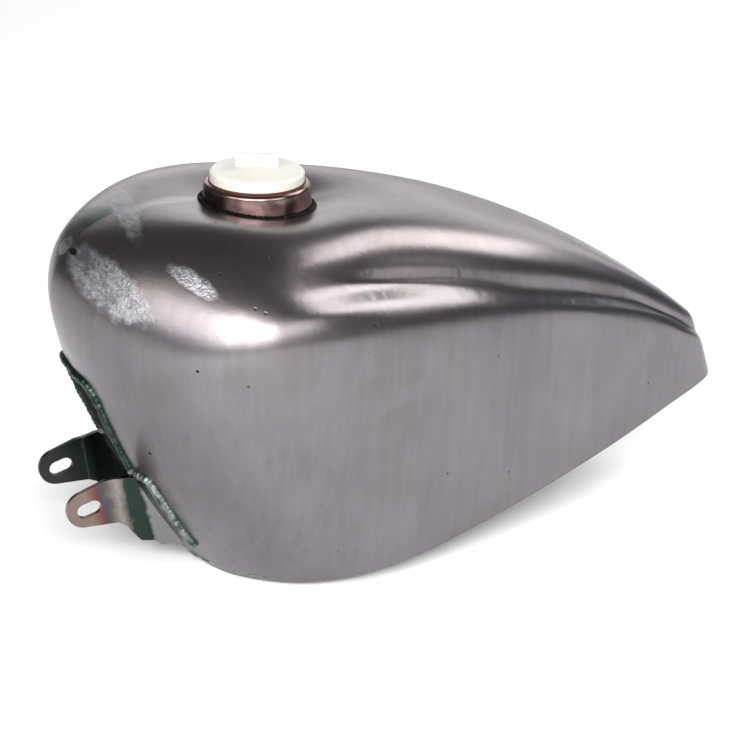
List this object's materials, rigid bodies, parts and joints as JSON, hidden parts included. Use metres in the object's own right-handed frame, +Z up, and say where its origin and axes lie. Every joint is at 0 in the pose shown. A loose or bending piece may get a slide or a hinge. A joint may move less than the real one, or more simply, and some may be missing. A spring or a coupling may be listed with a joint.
{
  "type": "motorcycle fuel tank",
  "caption": "Teardrop fuel tank of bare sheet steel with a tunnel for the frame tube, a filler neck with a push-in plug, slotted front ears and a rear mount plate.",
  "frame": {"origin": "on the front bolt axis, midway between the two front ears", "axes": "+X towards the tail of the tank, +Y to the tank's right-hand side, +Z up"},
  "size_m": [0.433, 0.2406, 0.234],
  "materials": {
    "drawn_steel": "bare drawn sheet with a mill skin, satin",
    "folded_steel": "bare folded sheet, dull",
    "ground_weld": "weld ground flush",
    "weld_steel": "as-welded beads",
    "braze": "burnt flux and braze, rough",
    "neck_steel": "spun steel, warm oil tint",
    "tinted_steel": "plate tinted by welding heat",
    "seal_rubber": "dark red flat rubber",
    "white_plastic": "moulded white plastic"
  },
  "bodies": {
    "tank": {"left_shell": "drawn_steel", "right_shell": "drawn_steel", "crown_seam": "ground_weld", "tunnel": "folded_steel", "left_floor": "folded_steel", "right_floor": "folded_steel", "left_floor_weld": "weld_steel", "right_floor_weld": "weld_steel", "mouth_weld": "weld_steel", "filler_neck": "neck_steel", "bayonet_ring": "neck_steel", "neck_braze": "braze", "left_bracket": "tinted_steel", "right_bracket": "tinted_steel", "left_bracket_weld": "weld_steel", "right_bracket_weld": "weld_steel", "rear_mount_plate": "tinted_steel", "rear_mount_weld": "weld_steel", "petcock_bung": "neck_steel", "bung_weld": "weld_steel"},
    "seal": {"plug_seal": "seal_rubber"},
    "plug": {"filler_plug": "white_plastic"}
  },
  "joints": [
    {"name": "plug_lift", "type": "slide", "parent": "tank", "child": "seal", "axis": [0, 0, 1], "range_m": [0, 0.05]},
    {"name": "plug_turn", "type": "hinge", "parent": "seal", "child": "plug", "pos_m": [0.1122, 0, 0.1787], "axis": [0, 0, 1], "continuous": true}
  ]
}
